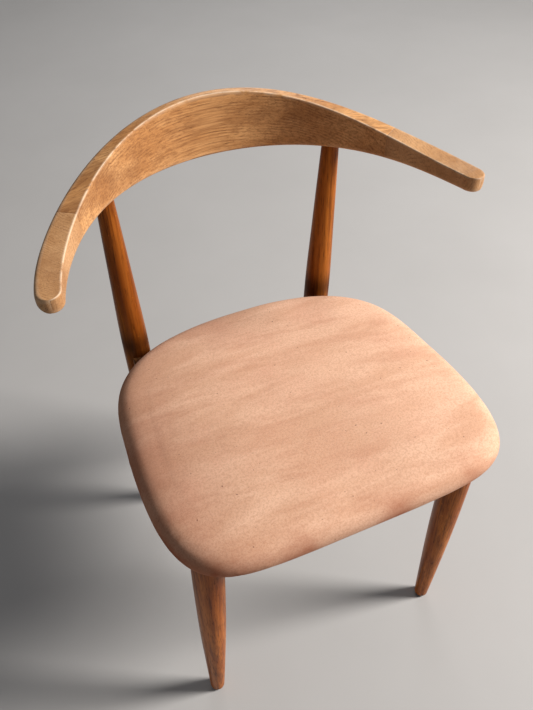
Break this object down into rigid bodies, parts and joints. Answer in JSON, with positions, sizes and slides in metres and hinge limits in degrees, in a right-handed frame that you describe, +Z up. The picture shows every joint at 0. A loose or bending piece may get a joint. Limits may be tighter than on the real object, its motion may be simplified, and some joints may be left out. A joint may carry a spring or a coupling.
{
  "type": "dining chair",
  "caption": "Low-backed dining armchair with one curved wooden rail for back and arms, turned tapered legs and a suede-like upholstered pad.",
  "frame": {"origin": "centre of the bounding box on the floor, under the seat", "axes": "+Z up, front of the chair towards -Y, +X to the right of someone looking at the front"},
  "size_m": [0.5248, 0.4674, 0.7248],
  "materials": {
    "rail_wood": "pale oak under a satin clear lacquer",
    "leg_wood": "hardwood with a walnut stain under a satin lacquer",
    "frame_wood": "planed hardwood with a thin walnut stain",
    "dowel_wood": "bare beech",
    "seat_cloth": "dusty pink suede-like microfibre with brush marks",
    "foam": "cream upholstery foam",
    "plywood": "bare plywood",
    "dust_cloth": "thin black non-woven cloth",
    "steel": "zinc-plated screws",
    "nylon": "dark brown nylon"
  },
  "bodies": {
    "root": {"arm_dowel_left_lower": "dowel_wood", "arm_dowel_left_upper": "dowel_wood", "arm_dowel_right_lower": "dowel_wood", "arm_dowel_right_upper": "dowel_wood", "arm_left": "rail_wood", "arm_right": "rail_wood", "block_screw_front_left_1": "steel", "block_screw_front_left_2": "steel", "block_screw_front_right_1": "steel", "block_screw_front_right_2": "steel", "block_screw_rear_left_1": "steel", "block_screw_rear_left_2": "steel", "block_screw_rear_right_1": "steel", "block_screw_rear_right_2": "steel", "corner_block_front_left": "frame_wood", "corner_block_front_right": "frame_wood", "corner_block_rear_left": "frame_wood", "corner_block_rear_right": "frame_wood", "crest_rail": "rail_wood", "dowel_front_front_left_1": "dowel_wood", "dowel_front_front_left_2": "dowel_wood", "dowel_front_front_right_1": "dowel_wood", "dowel_front_front_right_2": "dowel_wood", "dowel_left_front_left_1": "dowel_wood", "dowel_left_front_left_2": "dowel_wood", "dowel_left_rear_left_1": "dowel_wood", "dowel_left_rear_left_2": "dowel_wood", "dowel_rear_rear_left_1": "dowel_wood", "dowel_rear_rear_left_2": "dowel_wood", "dowel_rear_rear_right_1": "dowel_wood", "dowel_rear_rear_right_2": "dowel_wood", "dowel_right_front_right_1": "dowel_wood", "dowel_right_front_right_2": "dowel_wood", "dowel_right_rear_right_1": "dowel_wood", "dowel_right_rear_right_2": "dowel_wood", "dust_cover": "dust_cloth", "foot_glide_front_left": "nylon", "foot_glide_front_right": "nylon", "foot_glide_rear_left": "nylon", "foot_glide_rear_right": "nylon", "front_leg_left": "leg_wood", "front_leg_right": "leg_wood", "rear_leg_left": "leg_wood", "rear_leg_right": "leg_wood", "seat_board": "plywood", "seat_cover": "seat_cloth", "seat_foam": "foam", "seat_rail_front": "frame_wood", "seat_rail_left": "frame_wood", "seat_rail_rear": "frame_wood", "seat_rail_right": "frame_wood", "seat_screw_front_left": "steel", "seat_screw_front_right": "steel", "seat_screw_rear_left": "steel", "seat_screw_rear_right": "steel"}
  },
  "joints": []
}
